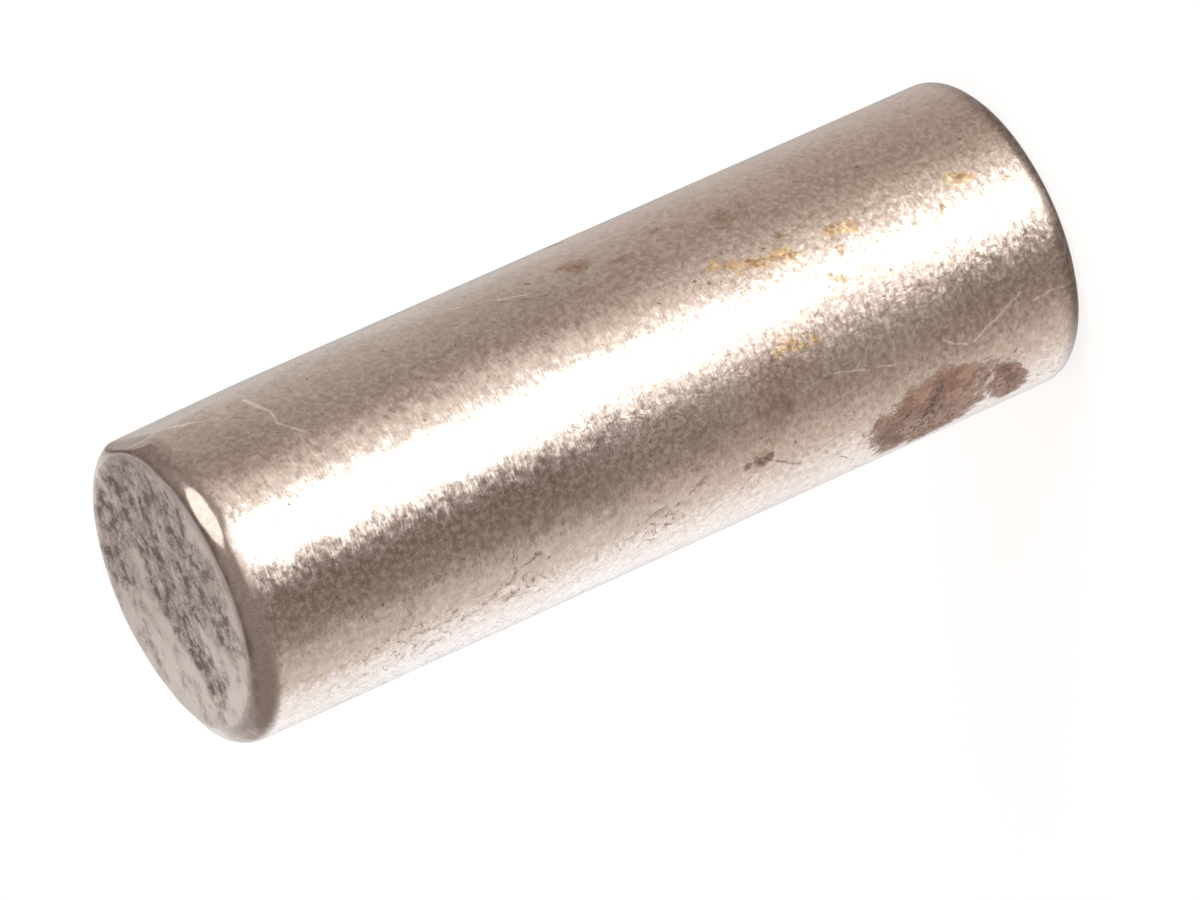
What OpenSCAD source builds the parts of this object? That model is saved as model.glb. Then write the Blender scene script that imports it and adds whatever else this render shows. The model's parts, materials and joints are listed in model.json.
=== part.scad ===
// Roller pin: a short solid roller of hardened steel, ground on its
// running surface, with flat end faces and rounded corners.
// It is made from one piece of bar and stands on its bottom end face,
// with its axis along +Z and the origin at the centre of that face.

/* [Roller] */
// Diameter of the running surface
roller_d = 4; // [2:0.1:12]
// Overall length, from one end face to the other
roller_l = 11.8; // [4:0.1:40]

/* [Ends] */
// Radius of the corner between the running surface and the top end face
top_corner_r = 0.3; // [0.05:0.01:0.8]
// Radius of the corner between the running surface and the bottom end face
bottom_corner_r = 0.25; // [0.05:0.01:0.8]

/* [Hidden] */
$fn = 96;

roller_r = roller_d / 2;
mid_h = roller_l / 2;
// Length of the straight running surface, between the two corners
running_l = roller_l - top_corner_r - bottom_corner_r;

// Half of the roller's lengthwise section, with its axis on x = 0
module half_section() {
    // the running surface
    translate([0, bottom_corner_r]) square([roller_r, running_l]);
    // the bottom end face and its rounded corner
    square([roller_r - bottom_corner_r, mid_h]);
    translate([roller_r - bottom_corner_r, bottom_corner_r]) circle(r = bottom_corner_r);
    // the top end face and its rounded corner
    translate([0, mid_h]) square([roller_r - top_corner_r, roller_l - mid_h]);
    translate([roller_r - top_corner_r, roller_l - top_corner_r]) circle(r = top_corner_r);
}

module roller_pin() {
    color([0.64, 0.58, 0.54])
        rotate_extrude() half_section();
}

roller_pin();
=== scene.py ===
import json
import math

import bmesh
import bpy
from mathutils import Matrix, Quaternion, Vector, noise


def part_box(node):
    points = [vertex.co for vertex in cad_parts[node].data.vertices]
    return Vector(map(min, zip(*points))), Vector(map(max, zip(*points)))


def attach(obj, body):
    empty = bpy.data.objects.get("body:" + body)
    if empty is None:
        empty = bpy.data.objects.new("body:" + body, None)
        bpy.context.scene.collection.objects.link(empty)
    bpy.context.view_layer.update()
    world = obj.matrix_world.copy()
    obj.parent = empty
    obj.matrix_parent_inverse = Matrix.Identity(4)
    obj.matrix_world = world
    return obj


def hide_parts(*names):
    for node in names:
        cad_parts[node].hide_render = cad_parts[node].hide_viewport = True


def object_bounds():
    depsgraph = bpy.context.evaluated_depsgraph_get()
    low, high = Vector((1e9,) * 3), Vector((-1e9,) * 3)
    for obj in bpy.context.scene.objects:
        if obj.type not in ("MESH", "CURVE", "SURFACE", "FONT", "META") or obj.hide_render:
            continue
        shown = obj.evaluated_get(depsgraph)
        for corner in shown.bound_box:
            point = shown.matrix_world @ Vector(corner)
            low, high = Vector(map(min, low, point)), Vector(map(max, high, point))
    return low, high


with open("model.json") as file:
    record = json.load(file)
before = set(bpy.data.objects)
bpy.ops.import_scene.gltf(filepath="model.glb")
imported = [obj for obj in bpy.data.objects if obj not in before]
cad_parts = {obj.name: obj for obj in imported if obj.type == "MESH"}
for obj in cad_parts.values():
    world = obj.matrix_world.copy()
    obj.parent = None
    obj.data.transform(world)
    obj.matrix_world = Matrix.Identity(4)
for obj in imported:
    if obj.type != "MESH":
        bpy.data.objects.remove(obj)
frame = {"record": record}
cad_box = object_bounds()
mm = 0.001

# --- The roller ---------------------------------------------------------------------------------
# One solid piece of hardened steel, cut from bar, with flat ends and rounded corners. Its running
# surface is ground true, then worn: chipped at the top corner, dented, scratched, stained and rusted.

# The blank is a half section of the roller, turned once round the axis.

running_surface = next(m for m in frame["record"]["mounts"] if m["name"] == "running_surface")
roller_low, roller_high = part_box("roller_pin")
roller_l = roller_high.z - roller_low.z
nominal_r = running_surface["dims"]["r_mm"] * mm
# use has taken this much off the running surface
ground_away = 0.006 * mm
roller_r = nominal_r - ground_away
bottom_corner_r = 0.25 * mm
top_corner_r = 0.30 * mm

blank = bmesh.new()
outline = ((0, 0, 0), (roller_r, 0, 0), (roller_r, 0, roller_l), (0, 0, roller_l))
section = [blank.verts.new(point) for point in outline]
for start, end in zip(section, section[1:]):
    blank.edges.new((start, end))
for corner, corner_r, steps in ((section[1], bottom_corner_r, 8), (section[2], top_corner_r, 11)):
    bmesh.ops.bevel(
        blank, geom=[corner], offset=corner_r, offset_type="OFFSET", segments=steps,
        profile=0.5, affect="VERTICES", material=-1,
    )
# the three straight sides of the section, from the shortest: top face, bottom face, running surface
straight = sorted(blank.edges, key=lambda edge: edge.calc_length())[-3:]
for side, cuts in zip(straight, (46, 22, 219)):
    bmesh.ops.subdivide_edges(blank, edges=[side], cuts=cuts)
facets_round = 300
bmesh.ops.spin(
    blank, geom=blank.verts[:] + blank.edges[:], cent=(0, 0, 0), axis=(0, 0, 1),
    angle=2 * math.pi, steps=facets_round, use_merge=True,
)
bmesh.ops.remove_doubles(blank, verts=blank.verts, dist=0.0005 * mm)
bmesh.ops.recalc_face_normals(blank, faces=blank.faces)


def spun_order(face):
    """A number that grows round the axis, slice by slice, and up the section within a slice."""
    middle = face.calc_center_median()
    slice_turn = round(math.degrees(math.atan2(middle.x, -middle.y)), 2)
    up_section = math.atan2(middle.z - roller_l / 2, math.hypot(middle.x, middle.y))
    return 1000 * slice_turn + up_section


# the spin lists its faces in an order that changes from run to run, so they are put in one order
blank.faces.sort(key=spun_order)

# The skin is laid out flat before it is worn: the running surface and its corners as one unrolled
# strip across the top of the sheet, and the two end faces as discs below it.

# on a sheet with sides of 1: where the strip lies, how far the discs' middles are from the sheet's
# middle and from its foot, and the discs' scale
strip_low, strip_height, half_strip = 0.265, 0.72, 0.49
disc_aside, disc_low = 0.25, 0.13
disc_scale = 0.225 / (2 * nominal_r)
# a little longer than the section it holds
strip_l = roller_l + 0.4 * mm
flat_top_r = roller_r - top_corner_r
flat_bottom_r = roller_r - bottom_corner_r
# how much longer the section is than the roller at its bottom corner
round_bottom = bottom_corner_r * (math.pi / 2 - 1)
skin = blank.loops.layers.uv.new("OFBake")
for face in blank.faces:
    middle = face.calc_center_median()
    upper = middle.z > roller_l / 2
    flat_r = flat_top_r if upper else flat_bottom_r
    on_end = abs(face.normal.z) > 0.99 and math.hypot(middle.x, middle.y) < flat_r
    middle_turn = math.atan2(middle.x, -middle.y)
    for loop in face.loops:
        x, y, z = loop.vert.co
        if on_end:
            side = 1 if upper else -1
            loop[skin].uv = (0.5 + disc_aside * side + x * disc_scale, disc_low + y * disc_scale * side)
            continue
        turn = math.atan2(x, -y)
        turn += 2 * math.pi * round((middle_turn - turn) / (2 * math.pi))
        # distance along the section, from the bottom face's edge to the top face's edge
        r = math.hypot(x, y)
        if z < bottom_corner_r:
            along = bottom_corner_r * math.atan2(r - flat_bottom_r, bottom_corner_r - z)
        elif z > roller_l - top_corner_r:
            along = roller_l - top_corner_r + round_bottom
            along += top_corner_r * math.atan2(z - roller_l + top_corner_r, r - flat_top_r)
        else:
            along = z + round_bottom
        loop[skin].uv = (0.5 + half_strip * turn / math.pi, strip_low + strip_height * along / strip_l)

# Wear and rust are cut into the blank as real relief, in millimetres. Each kind also leaves its mark
# on the vertices, which the finish below reads to know where it lies.

roller_r_mm, roller_l_mm = roller_r / mm, roller_l / mm


def heading(azimuth, elevation=0.0):
    """The direction that points out at an azimuth from the front, -Y, towards +X, in degrees."""
    a, e = math.radians(azimuth), math.radians(elevation)
    return Vector((math.sin(a) * math.cos(e), -math.cos(a) * math.cos(e), math.sin(e)))


def smooth_step(low, high, value):
    """Turns a value smoothly from 0 at low to 1 at high."""
    t = min(1.0, max(0.0, (value - low) / (high - low)))
    return t * t * (3 - 2 * t)


def grain(point, scale, octaves=3):
    """Cloudy noise between about -1 and 1, with lumps of about 1 / scale millimetres."""
    return noise.fractal(point * scale, 1.0, 2.0, octaves, noise_basis="PERLIN_ORIGINAL")


def nearness(azimuth, height, spot):
    """1 at a spot's middle, 0 at its edge and negative beyond; a spot is (azimuth, height, half
    width, half height, lean), in degrees and millimetres."""
    turn = (azimuth - spot[0] + 180) % 360 - 180
    across = math.radians(turn) * roller_r_mm
    up = height - spot[1]
    lean = math.radians(spot[4])
    over_width = (across * math.cos(lean) + up * math.sin(lean)) / spot[2]
    over_height = (up * math.cos(lean) - across * math.sin(lean)) / spot[3]
    return 1 - math.hypot(over_width, over_height)


# flats knocked and worn on the top corner: the azimuth and elevation that each faces, and its depth
chips = [
    (103, 2.5, 0.085), (100, 15, 0.090), (41, 33, 0.011), (-62, 46, 0.016), (-12, 50, 0.010),
    (-92, 60, 0.026), (-108, 60, 0.030), (-124, 60, 0.026),
]
# where the etching of the end faces lies thickest: x, y, reach and strength
etched_spots = [
    (1.45, 0.05, 0.60, 1.0), (1.00, 0.30, 0.60, 1.0), (0.46, 0.20, 0.60, 1.0), (0.00, 0.15, 0.55, 1.0),
    (-0.35, -0.15, 0.50, 1.0), (-0.72, -0.34, 0.40, 0.9), (-1.02, -0.44, 0.45, 1.0),
    (0.75, 1.15, 0.60, 0.9), (1.55, 0.70, 0.55, 1.0), (1.75, 0.10, 0.40, 0.9), (0.15, 1.35, 0.50, 0.7),
    (1.15, -0.60, 0.60, 0.8), (0.30, -0.85, 0.85, 0.8), (-0.25, -1.30, 0.50, 0.6),
]
# where each kind of wear lies on the running surface: azimuth, height, half width, half height, lean
wear = {
    "rust": [
        (-37, 2.30, 0.52, 1.00, 8), (-48, 2.15, 0.40, 0.85, 4), (-31, 1.95, 0.36, 0.60, -12),
        (-44, 1.10, 0.44, 0.34, 20),
    ],
    "smut": [
        (-25, 4.72, 0.22, 0.26, 20), (74, 5.8, 0.22, 0.30, 0), (68, 5.3, 0.12, 0.34, 0),
        (74, 4.7, 0.12, 0.25, 0), (66, 3.9, 0.3, 0.5, 0), (4, 4.3, 0.5, 0.8, 0), (-6, 4.4, 0.5, 0.4, 0),
    ],
    "tangle": [
        (8, 6.2, 0.9, 1.5, 0), (2, 4.6, 0.9, 1.2, 0), (8, 3.0, 0.9, 1.6, 0), (48, 4.2, 0.6, 1.4, 0),
    ],
    "pitting": [
        (-36, 9.6, 0.5, 1.5, 0), (-34, 8.2, 0.35, 0.6, 0), (-50, 10.4, 0.5, 0.9, 0),
        (-36, 6.4, 0.4, 0.8, 0), (-56, 8.6, 0.4, 1.5, 0),
    ],
}
# dents in the running surface, each with its depth
dents = [
    ((-25, 4.80, 0.12, 0.12, 0), 0.012), ((-34, 8.35, 0.12, 0.12, 0), 0.010),
    ((-69, 9.15, 0.13, 0.50, 0), 0.030), ((-48, 10.6, 0.16, 0.14, 0), 0.006),
    ((-40, 7.9, 0.08, 0.10, 0), 0.008), ((-28, 8.1, 0.08, 0.07, 0), 0.008),
]

# how deep etching and rust cut, the grain that each adds, and the grain of the end faces and of the
# corners, in millimetres; the whole skin waves by a micrometre or two
etch_depth, etch_grain = 0.022, 0.012
rust_depth, rust_grain = 0.004, 0.010
end_grain, corner_grain, skin_wave = 0.002, 0.003, 0.0015


def eaten_end(place, etch, from_rim):
    """How deep an end face is etched: ragged pits that end at the rim, and nothing left proud."""
    pitted = etch * smooth_step(0.0, 0.10, from_rim) * (etch_depth + etch_grain * grain(place, 5, 3))
    return pitted + end_grain * (1 + grain(place, 6, 2))


def worn_wall(place, azimuth, height, rust):
    """How deep the running surface is worn: rough under the rust, and dented."""
    depth = smooth_step(0.0, 0.15, rust) * (rust_depth + rust_grain * grain(place, 5, 3))
    for spot, dent_depth in dents:
        ragged_edge = nearness(azimuth, height, spot) + 0.25 * grain(place, 6, 2)
        depth += dent_depth * smooth_step(0.0, 0.8, ragged_edge)
    return depth


def left_square(place, azimuth, r):
    """Fills out the top corner where it was never rounded as far as at the front: round the right
    and the back."""
    round_right = (azimuth + 90) % 360 - 90
    sharper = 0.07 * smooth_step(-25, 5, round_right) * smooth_step(225, 195, round_right)
    up_corner = (place.z - (roller_l - top_corner_r) / mm) / (top_corner_r / mm)
    out_corner = (r - flat_top_r / mm) / (top_corner_r / mm)
    place.z += sharper * (1 - up_corner)
    place.xy *= 1 + sharper * (1 - out_corner) / r


def knock_flat(place):
    """Presses what stands proud of a flat down to it, with a soft crease at its edge."""
    for azimuth, elevation, depth in chips:
        facing = heading(azimuth, elevation)
        e = math.radians(elevation)
        corner_reach = flat_top_r * math.cos(e) + (roller_l - top_corner_r) * math.sin(e) + top_corner_r
        proud = place.dot(facing) - (corner_reach / mm - depth + 0.005 * grain(place, 2, 2))
        if proud > 0:
            place -= facing * proud * proud / (proud + 0.004)


marks = {name: blank.verts.layers.float.new(name) for name in ("end_face", "etch", "corner_shade", *wear)}
for vert in blank.verts:
    place = vert.co / mm
    outward = vert.normal.copy()
    r = math.hypot(place.x, place.y)
    azimuth = math.degrees(math.atan2(place.x, -place.y))
    height = place.z
    on_top = height > roller_l_mm - 0.001
    on_bottom = height < 0.001
    for name, spots in wear.items():
        vert[marks[name]] = max(nearness(azimuth, height, spot) for spot in spots)
    # the edge of the rust is ragged
    rust = vert[marks["rust"]] + 0.30 * grain(place, 1.9, 4)
    vert[marks["rust"]] = rust
    etch = max(
        strength * smooth_step(0.0, 0.7, 1 - math.hypot(place.x - x, place.y - y) / reach)
        for x, y, reach, strength in etched_spots
    )
    vert[marks["etch"]] = etch
    # painted shade darkens the bottom corner, all round
    if not on_bottom:
        vert[marks["corner_shade"]] = 0.55 * smooth_step(0.36, 0.20, height)
    cut = skin_wave * grain(place, 0.8, 2)

    if on_top or on_bottom:
        from_rim = (flat_top_r if on_top else flat_bottom_r) / mm - r
        cut = max(cut + eaten_end(place, etch, from_rim), 0.0005)
        vert[marks["end_face"]] = 1.0
    elif bottom_corner_r / mm < height < roller_l_mm - top_corner_r / mm:
        cut += worn_wall(place, azimuth, height, rust)
    else:
        cut += corner_grain * (1 + grain(place, 1.5, 2))
        if height > roller_l_mm / 2:
            # the end face's dull skin runs a little past its rim, and just past it the corner is darkened
            # with painted shade
            past_rim = r - flat_top_r / mm + 0.03 * grain(place, 6, 2)
            vert[marks["end_face"]] = smooth_step(0.10, 0.01, past_rim)
            # the painted shade on the top corner: a band just past the rim
            rim_shade = smooth_step(0.01, 0.06, past_rim) * smooth_step(0.20, 0.09, past_rim)
            # but not round the back
            rim_shade *= smooth_step(-85, -65, azimuth) * smooth_step(125, 100, azimuth)
            vert[marks["corner_shade"]] = rim_shade
            left_square(place, azimuth, r)
    place -= outward * max(cut, -0.005)
    knock_flat(place)
    vert.co = place * mm

bmesh.ops.recalc_face_normals(blank, faces=blank.faces)
roller_mesh = bpy.data.meshes.new("roller")
blank.to_mesh(roller_mesh)
blank.free()
roller_mesh.shade_smooth()
roller = bpy.data.objects.new("roller", roller_mesh)
bpy.context.collection.objects.link(roller)

# The finish is warm grey hardened steel, ground bright and then dulled by a fine frosting. Over it lie
# short grinding dashes round the surface, dark pits, scratches, oil stains, smuts and a rust bloom, with
# painted shade in the corners and painted highlights on the rust and along the top corner's ridge.

steel = bpy.data.materials.new("worn_ground_steel")
steel.use_nodes = True
finish = steel.node_tree
shader = finish.nodes["Principled BSDF"]


def add(kind, inputs=None, output=0, into=finish, **settings):
    """Adds a node, with plain values or other nodes' outputs on its inputs, and gives its output."""
    made = into.nodes.new("ShaderNode" + kind)
    for name, value in settings.items():
        setattr(made, name, value)
    for name, value in (inputs or {}).items():
        if isinstance(value, bpy.types.NodeSocket):
            into.links.new(value, made.inputs[name])
        else:
            made.inputs[name].default_value = value
    return None if output is None else made.outputs[output]


def reckon(operation, a, b=0.0, c=0.0, into=finish):
    return add("Math", {0: a, 1: b, 2: c}, into=into, operation=operation)


def times(a, b, into=finish):
    return reckon("MULTIPLY", a, b, into=into)


def mixed(amount, low, high):
    """Goes from low to high as the amount goes from 0 to 1."""
    return add("Mix", {"Factor": amount, 2: low, 3: high}, data_type="FLOAT")


def fade(value, low, high, out_low=0.0, out_high=1.0):
    """Turns a value smoothly from out_low at low to out_high at high."""
    return add(
        "MapRange",
        {"Value": value, "From Min": low, "From Max": high, "To Min": out_low, "To Max": out_high},
        interpolation_type="SMOOTHSTEP",
    )


def tint(tone, amount, colour):
    """Lays a colour over a tone, by an amount from 0 to 1."""
    tone, colour = ((*c, 1.0) if isinstance(c, tuple) else c for c in (tone, colour))
    return add("Mix", {"Factor": amount, 6: tone, 7: colour}, output=2, data_type="RGBA")


def mark(name):
    return add("Attribute", output="Fac", attribute_name=name)


def clouds(at, scale, detail=2.0, roughness=0.5, distortion=0.0):
    """Cloudy noise around 0.5, with lumps of about 1 / scale millimetres."""
    return add(
        "TexNoise",
        {"Vector": at, "Scale": scale, "Detail": detail, "Roughness": roughness, "Distortion": distortion},
        output="Fac",
    )


def crease(cloudy, level, edge, core):
    """1 along the thin lines where cloudy noise is within core of a level, and 0 beyond edge."""
    return fade(reckon("ABSOLUTE", reckon("SUBTRACT", cloudy, level)), edge, core)


# the place on the roller, in millimetres, and the same place on its unrolled running surface
here = add("VectorMath", {0: add("TexCoord", output="Object"), "Scale": 1 / mm}, operation="SCALE")
here_x, here_y, here_z = (add("SeparateXYZ", {0: here}, output=axis) for axis in "XYZ")
turn = reckon("ARCTAN2", here_x, times(here_y, -1.0))
unrolled = add("CombineXYZ", {"X": times(turn, roller_r_mm), "Y": here_z})

# the corners were tumbled, not ground, and keep a darker, smoother skin
end_face = mark("end_face")
top_edge, bottom_edge = roller_l_mm - top_corner_r / mm, bottom_corner_r / mm
top_corner = fade(here_z, top_edge - 0.01, top_edge + 0.05)
bottom_corner = fade(here_z, bottom_edge + 0.01, bottom_edge - 0.05)
corner = times(reckon("MAXIMUM", top_corner, bottom_corner), reckon("SUBTRACT", 1.0, end_face))

# the ground grain tips the surface a few degrees every way, finer on the frosted lower half, and
# short dashes round it tip it sideways
ground_tip, frosted_tip, dash_tip = 0.42, 0.22, 0.20
frosting = fade(here_z, 7.0, 4.2)
calm = reckon("MULTIPLY_ADD", corner, -0.5, 1.0)
outward = add("NewGeometry", output="Normal")
ground_grain, frosted_grain = (
    add("TexNoise", {"Vector": here, "Scale": scale, "Detail": 4.0, "Roughness": 0.75}, output="Color")
    for scale in (8.0, 13.0)
)
every_way = add(
    "Mix", {"Factor": frosting, 6: ground_grain, 7: frosted_grain}, output=2, data_type="RGBA",
)
every_way = add("VectorMath", {0: every_way, 1: (0.5, 0.5, 0.5)}, operation="SUBTRACT")
steepness = times(calm, reckon("MULTIPLY_ADD", frosting, frosted_tip, ground_tip))
every_way = add("VectorMath", {0: every_way, "Scale": steepness}, operation="SCALE")
drawn_out = add("VectorMath", {0: here, 1: (9.0, 9.0, 42.0)}, operation="MULTIPLY")
dash = times(reckon("SUBTRACT", clouds(drawn_out, 1.0, 2.0, 0.5), 0.5), times(calm, dash_tip))
sideways = add("VectorMath", {0: (0.0, 0.0, 1.0), 1: outward}, operation="CROSS_PRODUCT")
sideways = add("VectorMath", {0: sideways, "Scale": dash}, operation="SCALE")
frosted = add("VectorMath", {0: outward, 1: every_way}, operation="ADD")
frosted = add("VectorMath", {0: frosted, 1: sideways}, operation="ADD")
frosted = add("VectorMath", {0: frosted}, operation="NORMALIZE")

# clean steel, mottled in broad patches
bright_steel = (0.62, 0.55, 0.50)
dulled_steel = (0.575, 0.505, 0.455)
tone = tint(bright_steel, fade(clouds(here, 0.9, 3.0, 0.6), 0.35, 0.65), dulled_steel)

# brown specks in the grain, and a warmer cast where it is frosted
speck_brown = (0.36, 0.275, 0.23)
specks = fade(clouds(here, 12.0, 3.0, 0.65), 0.66, 0.34)
tone = tint(tone, times(specks, reckon("MULTIPLY_ADD", frosting, 0.16, 0.28)), speck_brown)
warm_cast = (0.62, 0.50, 0.42)
tone = tint(tone, times(frosting, 0.35), warm_cast)
rough = reckon("MULTIPLY_ADD", frosting, 0.11, 0.17)

# a thin dull film, patchy in the grain, which scatters light: heavier on the lower half
film = fade(clouds(here, 14.0, 3.0, 0.7), 0.38, 0.68)
film = times(film, reckon("MULTIPLY_ADD", frosting, 0.10, 0.34))

# curls: tangled scuffs, dull along their ridges and dark along their furrows
furrow_brown = (0.30, 0.22, 0.18)
tangle = fade(mark("tangle"), 0.0, 0.5)
curls = clouds(here, 4.5, 2.0, 0.55, 2.2)
ridge = times(crease(curls, 0.55, 0.035, 0.005), tangle)
furrow = times(crease(curls, 0.45, 0.035, 0.005), tangle)
film = reckon("MULTIPLY_ADD", ridge, 0.22, film)
film = reckon("MULTIPLY_ADD", tangle, 0.05, film)
rough = reckon("MULTIPLY_ADD", tangle, 0.07, rough)
tone = tint(tone, times(furrow, 0.30), furrow_brown)

# dark pits: a few anywhere, and strings of them, in rings, where the steel is pitted
pit_brown = (0.20, 0.15, 0.12)
pit_clouds = clouds(here, 10.0, 2.0, 0.6)
ring = crease(clouds(here, 3.6, 2.0, 0.6, 0.3), 0.53, 0.030, 0.008)
strung_pit = times(times(ring, fade(pit_clouds, 0.44, 0.54)), fade(mark("pitting"), 0.0, 0.6))
pit = reckon("MAXIMUM", strung_pit, fade(pit_clouds, 0.69, 0.74))
tone = tint(tone, times(pit, 0.80), pit_brown)

# the end faces have a matte pale skin, duller towards +X, eaten away in brown crumbs and dark worms
pale_skin = (0.88, 0.825, 0.79)
dull_skin = (0.68, 0.62, 0.585)
etched_brown = (0.38, 0.30, 0.265)
etched_black = (0.13, 0.087, 0.073)
face_tone = tint(dull_skin, fade(here_x, 0.1, -1.3), pale_skin)
face_tone = tint(face_tone, fade(clouds(here, 12.0, 2.0, 0.6), 0.36, 0.64, 0.0, 0.22), pale_skin)
etching = reckon("MULTIPLY_ADD", clouds(here, 3.5, 3.0, 0.6), 1.2, times(mark("etch"), 0.6))
etching = fade(etching, 0.50, 1.00)
crumbs = clouds(here, 5.0, 4.0, 0.72)
etched = times(fade(crumbs, 0.34, 0.52), etching)
face_tone = tint(face_tone, times(etched, 0.55), etched_brown)
worms = crease(clouds(here, 4.2, 3.0, 0.6, 0.8), 0.5, 0.050, 0.012)
deepest = reckon("MAXIMUM", times(worms, 0.55), fade(crumbs, 0.49, 0.58))
face_tone = tint(face_tone, times(deepest, times(etching, 0.86)), etched_black)
tone = tint(tone, end_face, face_tone)
rough = mixed(end_face, rough, 0.6)
metal = mixed(end_face, reckon("SUBTRACT", 1.0, film), 0.35)

# the corners' skin, and the painted shade in them
corner_steel = (0.49, 0.42, 0.375)
corner_shade_brown = (0.19, 0.145, 0.12)
tone = tint(tone, times(corner, 0.8), corner_steel)
# painted shade: darker brown in the corners
tone = tint(tone, times(mark("corner_shade"), 0.80), corner_shade_brown)
rough = mixed(corner, rough, 0.27)

# smuts, with ragged edges, as the rust and the stains have
smut_brown = (0.33, 0.20, 0.15)
ragged = reckon("SUBTRACT", clouds(here, 6.0, 3.0, 0.65), 0.5)
smut = fade(reckon("MULTIPLY_ADD", ragged, 2.6, mark("smut")), 0.25, 0.95)
tone = tint(tone, times(smut, 0.55), smut_brown)

# rust: purple brown, with brown and orange patches, and a pale painted highlight towards its left
rust_purple = (0.125, 0.058, 0.048)
rust_brown = (0.34, 0.175, 0.13)
rust_orange = (0.56, 0.345, 0.24)
rust_painted_highlight = (0.60, 0.46, 0.41)
rust = fade(reckon("ADD", ragged, mark("rust")), -0.08, 0.26)
rust_clouds = clouds(here, 3.0, 5.0, 0.68)
rust_tone = tint(rust_purple, fade(rust_clouds, 0.36, 0.47), rust_brown)
rust_tone = tint(rust_tone, fade(rust_clouds, 0.51, 0.60), rust_orange)
# the painted highlight grows towards the rust's left
left_part = fade(turn, math.radians(-31), math.radians(-47), 0.30, 1.0)
rust_tone = tint(rust_tone, times(fade(clouds(here, 16.0, 2.0, 0.6), 0.40, 0.60), left_part), rust_painted_highlight)
tone = tint(tone, times(rust, 0.92), rust_tone)
rough = mixed(rust, rough, 0.7)
metal = mixed(rust, metal, 0.05)

# what is too fine to cut into the blank, in millimetres: crumbs, curls and the grit of the rust
crumb_depth, curl_height, grit_height = 0.010, 0.005, 0.03
relief = times(times(etched, end_face), -crumb_depth)
relief = reckon("MULTIPLY_ADD", times(curls, tangle), curl_height, relief)
relief = reckon("MULTIPLY_ADD", times(rust, rust_clouds), grit_height, relief)

# scratches and stains wander a little off their straight strokes
wobble = add("TexNoise", {"Vector": unrolled, "Scale": 3.0, "Detail": 2.0}, output="Color")
wobble = add("VectorMath", {0: wobble, 1: (0.5, 0.5, 0.5)}, operation="SUBTRACT")
wandering = add("VectorMath", {0: wobble, 1: (0.12, 0.12, 0.12), 2: unrolled}, operation="MULTIPLY_ADD")


def stroke(start, end, width, raggedness=0.0):
    """A stroke on the running surface, between two places given as (azimuth, height)."""
    a = Vector((math.radians(start[0]) * roller_r_mm, start[1], 0))
    b = Vector((math.radians(end[0]) * roller_r_mm, end[1], 0))
    along = (b - a).normalized()
    from_start = add("VectorMath", {0: wandering, 1: a}, operation="SUBTRACT")
    run = add("VectorMath", {0: from_start, 1: along}, output="Value", operation="DOT_PRODUCT")
    run = reckon("MINIMUM", reckon("MAXIMUM", run, 0.0), (b - a).length)
    nearest = add("VectorMath", {0: tuple(along), "Scale": run}, operation="SCALE")
    off = add("VectorMath", {0: from_start, 1: nearest}, output="Value", operation="DISTANCE")
    if raggedness:
        off = reckon("MULTIPLY_ADD", ragged, raggedness, off)
    return fade(off, width / 2, width / 5)


# each stroke's two ends, in degrees and millimetres, and its width
yellow_stains = [
    ((41.5, 3.68), (41.0, 3.50), 0.30), ((43.5, 4.15), (41, 3.70), 0.22), ((47.5, 4.5), (45.5, 4.2), 0.18),
    ((41.5, 2.90), (40.5, 2.60), 0.24), ((41.5, 1.12), (41, 0.98), 0.28), ((12, 4.2), (10, 3.70), 0.20),
]
brown_stains = [
    ((48.5, 3.50), (47.5, 3.52), 0.15), ((41.0, 3.78), (40.0, 3.45), 0.12),
    ((42.2, 2.87), (41.2, 2.85), 0.15), ((43.5, 4.0), (41.5, 3.85), 0.08), ((42, 1.1), (41, 1.0), 0.12),
    ((40, 2.85), (30, 2.95), 0.06), ((27, 3.2), (23, 2.90), 0.05), ((34, 1.45), (27, 1.60), 0.05),
]
red_stains = [((76, 5.95), (73, 5.80), 0.22), ((75, 5.75), (74, 5.70), 0.12)]
# pale and dark streaks in the rust
pale_streaks = [((-31, 1.42), (-34, 1.62), 0.16), ((-34, 1.62), (-39, 1.74), 0.13)]
dark_streaks = [((-41.5, 3.02), (-49, 2.70), 0.34), ((-33, 1.22), (-46, 0.98), 0.26)]
black_stains = [
    ((-23, 4.86), (-27, 4.74), 0.17), ((-25, 4.98), (-25, 4.62), 0.10), ((104, 5.65), (100, 5.55), 0.16),
]
# pale strokes: bright scratches, and a painted highlight along the ridge of the knocked flat on the top
# corner (the strokes from 94 degrees at 11.73 mm to 77 degrees at 10.77 mm)
bright_scratches_and_ridge_highlight = [
    ((82, 10.3), (76, 10.28), 0.070), ((76, 10.28), (69, 10.20), 0.070), ((69, 10.20), (62, 10.25), 0.060),
    ((62, 10.25), (54, 10.05), 0.060), ((94, 11.73), (88.5, 11.62), 0.060),
    ((88.5, 11.62), (87, 11.38), 0.060), ((87, 11.38), (83, 11.07), 0.045),
    ((83, 11.07), (77, 10.77), 0.035), ((-10, 0.75), (-10, 0.2), 0.050), ((-5, 0.9), (-16, 1.65), 0.045),
    ((-10, 2.05), (-16, 1.75), 0.045), ((-3, 3.8), (-11, 2.75), 0.040), ((84, 7.6), (69, 6.45), 0.03),
]
dark_scratches = [
    ((-25, 4.7), (-37, 4.1), 0.045), ((-30, 4.0), (-50, 3.3), 0.035), ((-46, 0.86), (-55, 0.20), 0.060),
    ((79, 7.20), (69.5, 6.70), 0.035), ((69.5, 6.70), (63, 6.15), 0.030), ((77, 10.74), (71, 10.50), 0.030),
]
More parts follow.
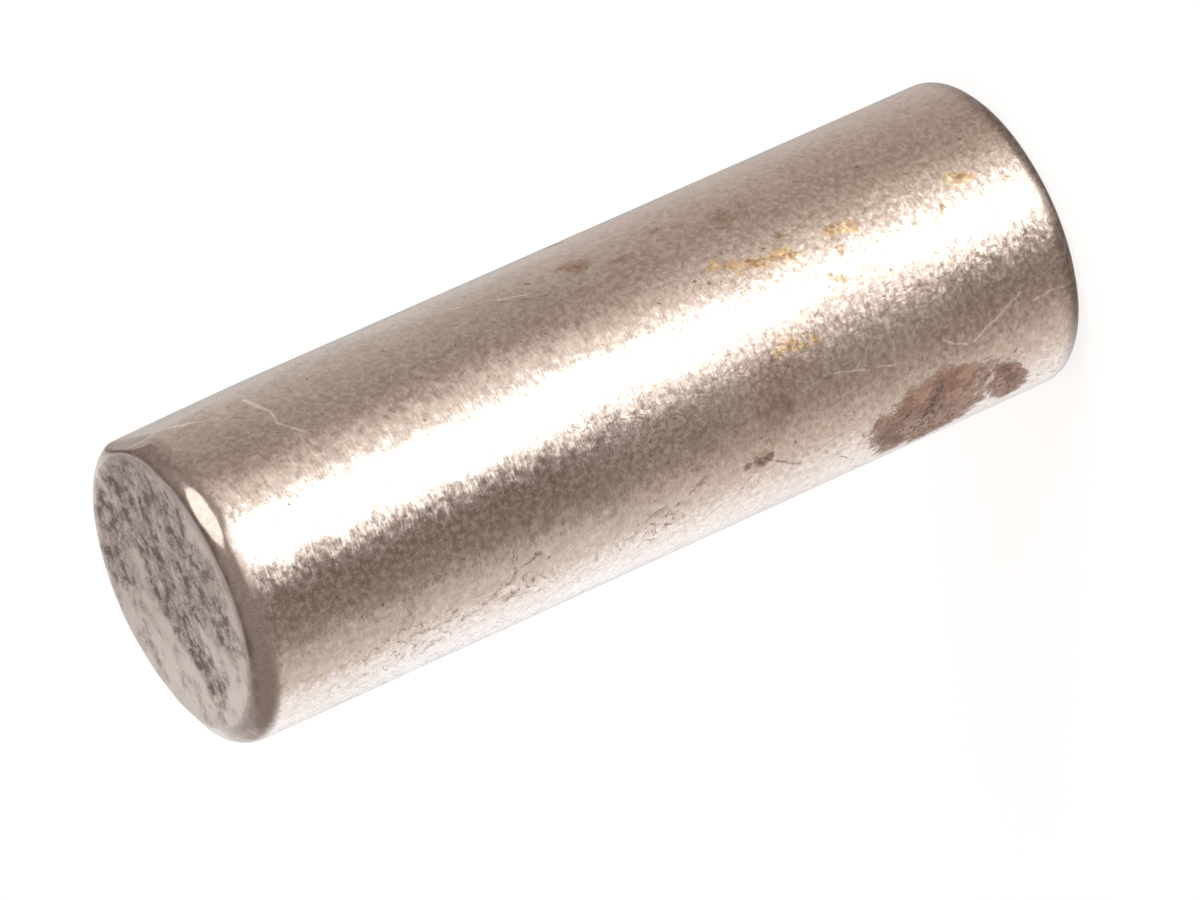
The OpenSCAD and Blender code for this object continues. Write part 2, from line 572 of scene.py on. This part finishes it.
# strings of pits that have grown together
pit_strings = [
    ((-20.5, 9.75), (-33.5, 9.40), 0.045), ((-33.5, 9.70), (-34.5, 9.15), 0.055),
    ((-34.5, 9.15), (-32, 8.45), 0.050), ((-30, 8.28), (-23.5, 8.25), 0.060),
    ((-26, 8.45), (-21.8, 7.90), 0.050), ((-29.5, 6.50), (-27.5, 6.10), 0.050),
    ((-28, 6.00), (-22.5, 5.55), 0.045), ((-29, 7.15), (-31, 7.10), 0.070),
    ((-31, 7.12), (-39, 7.08), 0.035), ((-44.5, 7.60), (-44.5, 7.40), 0.055),
    ((-24.5, 9.92), (-24.5, 9.80), 0.060),
]
broken = fade(clouds(here, 8.0, 2.0), 0.36, 0.52)
patchy = fade(clouds(here, 16.0, 2.0, 0.6), 0.38, 0.62, 0.35, 1.0)
for strokes, raggedness, amount, colour in (
    (yellow_stains, 0.45, times(patchy, 0.92), (0.62, 0.43, 0.21)),
    (brown_stains, 0.35, times(patchy, 0.90), (0.33, 0.20, 0.10)),
    (red_stains, 0.40, times(patchy, 0.75), (0.34, 0.185, 0.13)),
    (pale_streaks, 0.40, times(patchy, 0.75), (0.66, 0.53, 0.46)),
    (dark_streaks, 0.60, times(patchy, 0.65), (0.17, 0.085, 0.07)),
    (black_stains, 0.35, 0.75, (0.20, 0.125, 0.095)),
    # pale strokes: bright scratches, and a painted highlight along the top corner flat's ridge
    (bright_scratches_and_ridge_highlight, 0.0, 0.70, (0.92, 0.86, 0.80)),
    (dark_scratches, 0.0, times(broken, 0.75), (0.20, 0.145, 0.115)),
    (pit_strings, 0.20, times(patchy, 0.62), (0.22, 0.165, 0.125)),
):
    lines = stroke(*strokes[0], raggedness)
    for one in strokes[1:]:
        lines = reckon("MAXIMUM", lines, stroke(*one, raggedness))
    tone = tint(tone, times(lines, amount), colour)

bump = add("Bump", {"Strength": 1.0, "Distance": mm, "Height": relief, "Normal": frosted})
finish.links.new(tone, shader.inputs["Base Color"])
finish.links.new(rough, shader.inputs["Roughness"])
finish.links.new(metal, shader.inputs["Metallic"])
finish.links.new(bump, shader.inputs["Normal"])

roller_mesh.materials.append(steel)
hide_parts("roller_pin")
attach(roller, "root")


# --- The floor ----------------------------------------------------------------------------------
# A white sheet that the roller stands on. It glows nearly white by itself and takes the rest from the
# studio, so that the roller's soft shadow shows. The steel mirrors the studio alone, not the sheet.

sheet_r = 3.0
sheet = bmesh.new()
bmesh.ops.create_circle(sheet, cap_ends=True, radius=sheet_r, segments=64)
floor_mesh = bpy.data.meshes.new("floor")
sheet.to_mesh(floor_mesh)
sheet.free()
floor = bpy.data.objects.new("floor", floor_mesh)
bpy.context.collection.objects.link(floor)
floor.visible_glossy = False
floor.visible_shadow = False
floor.visible_diffuse = False

white = bpy.data.materials.new("white_sheet")
white.use_nodes = True
paint = white.node_tree
paint.nodes.clear()
own_glow = add("Emission", {"Strength": 0.80}, into=paint)
lit = add("BsdfDiffuse", {"Color": (0.45, 0.45, 0.45, 1.0)}, into=paint)
glowing_sheet = add("AddShader", {0: own_glow, 1: lit}, into=paint)
add("OutputMaterial", {"Surface": glowing_sheet}, output=None, into=paint)
floor_mesh.materials.append(white)


# --- The studio ---------------------------------------------------------------------------------
# A tent of pale cloth round the bench: bright at both sides, duller at the back, above and below, and
# dark where it is open at the front. One tall window stands to the right of the front, and one round
# lamp hangs high on the right.

studio = bpy.data.worlds.new("studio")
bpy.context.scene.world = studio
studio.use_nodes = True
sky = studio.node_tree
sky.nodes.clear()
gaze = add("TexCoord", output="Generated", into=sky)
gaze_x, gaze_y, gaze_z = (add("SeparateXYZ", {0: gaze}, output=axis, into=sky) for axis in "XYZ")
around = reckon("ARCTAN2", gaze_x, times(gaze_y, -1.0, into=sky), into=sky)

# the tent's walls, by azimuth
tent_strength = 2.0
tent = [
    (-180, (0.66, 0.63, 0.61)),
    (-163, (0.66, 0.645, 0.64)),
    (-152, (0.86, 0.865, 0.88)),
    (-127, (1.62, 1.66, 1.72)),
    (-95, (1.66, 1.69, 1.74)),
    (-89, (1.34, 1.27, 1.21)),
    (-70, (1.06, 0.98, 0.91)),
    (-57, (0.82, 0.73, 0.67)),
    (-45, (0.45, 0.365, 0.32)),
    (-34, (0.33, 0.26, 0.22)),
    (-20, (0.255, 0.195, 0.16)),
    (2, (0.255, 0.195, 0.16)),
    (46, (1.60, 1.60, 1.60)),
    (60, (1.52, 1.41, 1.31)),
    (84, (0.56, 0.465, 0.405)),
    (97, (0.46, 0.38, 0.33)),
    (125, (0.60, 0.53, 0.475)),
    (142, (0.73, 0.665, 0.61)),
    (166, (0.83, 0.79, 0.765)),
]
# and the canopy, where they slope in over the bench
canopy = [
    (-180, (0.80, 0.75, 0.72)),
    (-172, (1.15, 1.12, 1.10)),
    (-165, (1.30, 1.30, 1.30)),
    (-148, (1.30, 1.30, 1.30)),
    (-120, (0.40, 0.34, 0.30)),
    (168, (0.38, 0.32, 0.285)),
]


def cloth(*colour):
    return (*(part / tent_strength for part in colour), 1.0)


def around_tent(stops):
    """Colours by azimuth, blended from each to the next."""
    ramp = sky.nodes.new("ShaderNodeValToRGB")
    sky.links.new(reckon("MULTIPLY_ADD", around, 0.5 / math.pi, 0.5, into=sky), ramp.inputs[0])
    while len(ramp.color_ramp.elements) < len(stops):
        ramp.color_ramp.elements.new(0.5)
    for element, (azimuth, colour) in zip(ramp.color_ramp.elements, stops):
        element.position = azimuth / 360 + 0.5
        element.color = cloth(*colour)
    return ramp.outputs[0]


def between(value, low_gone, low_full, high_full, high_gone, least=0.0):
    """1 from low_full to high_full, falling to least at the two outer values."""
    ways = ({"From Min": low_gone, "From Max": low_full}, {"From Min": high_gone, "From Max": high_full})
    rise, fall = (add("MapRange", {"Value": value, "To Min": least, **way}, into=sky) for way in ways)
    return times(rise, fall, into=sky)


def sines(*elevations):
    """What gaze_z is at some elevations."""
    return [math.sin(math.radians(elevation)) for elevation in elevations]


# the walls hold between these elevations; past them come the canopy, the roof and the ground
shell = around_tent(tent)
for beyond, elevations in (
    (around_tent(canopy), (-90, -80, -21, -3)),
    (cloth(0.42, 0.36, 0.325), (-90, -80, 40, 65)),
    (cloth(0.30, 0.25, 0.22), (-52, -29, 89, 90)),
):
    within = between(gaze_z, *sines(*elevations))
    shell = add("Mix", {"Factor": within, 6: beyond, 7: shell}, output=2, data_type="RGBA", into=sky)
tent_light = add("Background", {"Color": shell, "Strength": tent_strength}, into=sky)

# the window, brightest below the level of the bench
window_strength = 4.4
window = between(around, *(math.radians(azimuth) for azimuth in (-8, 21, 42, 60)))
window = reckon("POWER", window, 2.0, into=sky)
window = times(window, between(gaze_z, *sines(-56, -36, -18, -7), 0.3), into=sky)
window = times(window, between(gaze_z, -2, -1, *sines(-7, 12)), into=sky)
window = times(window, window_strength, into=sky)
window_light = add("Background", {"Strength": window}, into=sky)

plain_white = add("Background", {"Color": (1.0, 1.0, 1.0, 1.0)}, into=sky)
seen = add(
    "MixShader",
    {
        0: add("LightPath", output="Is Camera Ray", into=sky),
        1: add("AddShader", {0: tent_light, 1: window_light}, into=sky),
        2: plain_white,
    },
    into=sky,
)
add("OutputWorld", {"Surface": seen}, output=None, into=sky)

lamp = bpy.data.lights.new("round_lamp", "AREA")
lamp.shape = "DISK"
lamp.size = 0.075
lamp_radiance = 2.3
lamp_distance = 0.12
lamp.energy = lamp_radiance * math.pi * math.pi * (lamp.size / 2) ** 2
lamp_way = heading(66, 39)
round_lamp = bpy.data.objects.new("round_lamp", lamp)
bpy.context.collection.objects.link(round_lamp)
round_lamp.location = (cad_box[0] + cad_box[1]) / 2 + lamp_way * lamp_distance
round_lamp.rotation_mode = "QUATERNION"
round_lamp.rotation_quaternion = lamp_way.to_track_quat("Z", "Y")
round_lamp.visible_camera = False


# --- The camera ---------------------------------------------------------------------------------
# A long lens from the front, a little to the right and above, rolled until the roller lies across
# the picture with its top end to the left.

lens = bpy.data.cameras.new("camera")
lens.lens = 305.5
lens.clip_start = 10 * mm
camera = bpy.data.objects.new("camera", lens)
bpy.context.collection.objects.link(camera)
bpy.context.scene.camera = camera
camera_way = heading(20, 22.92)
camera_roll = Quaternion((0, 0, 1), math.radians(-114.23))
camera.rotation_mode = "QUATERNION"
camera.rotation_quaternion = (-camera_way).to_track_quat("-Z", "Y") @ camera_roll
# from the middle of the top end, in roller diameters: back, across the picture and up it
roller_d = 2 * nominal_r
back, across, up = 30.13, 1.267, 0.4315
camera.location = Vector((0, 0, roller_l)) + camera_way * (back * roller_d)
camera.location += camera.rotation_quaternion @ Vector((across * roller_d, up * roller_d, 0))

bpy.context.scene.view_settings.view_transform = "Standard"
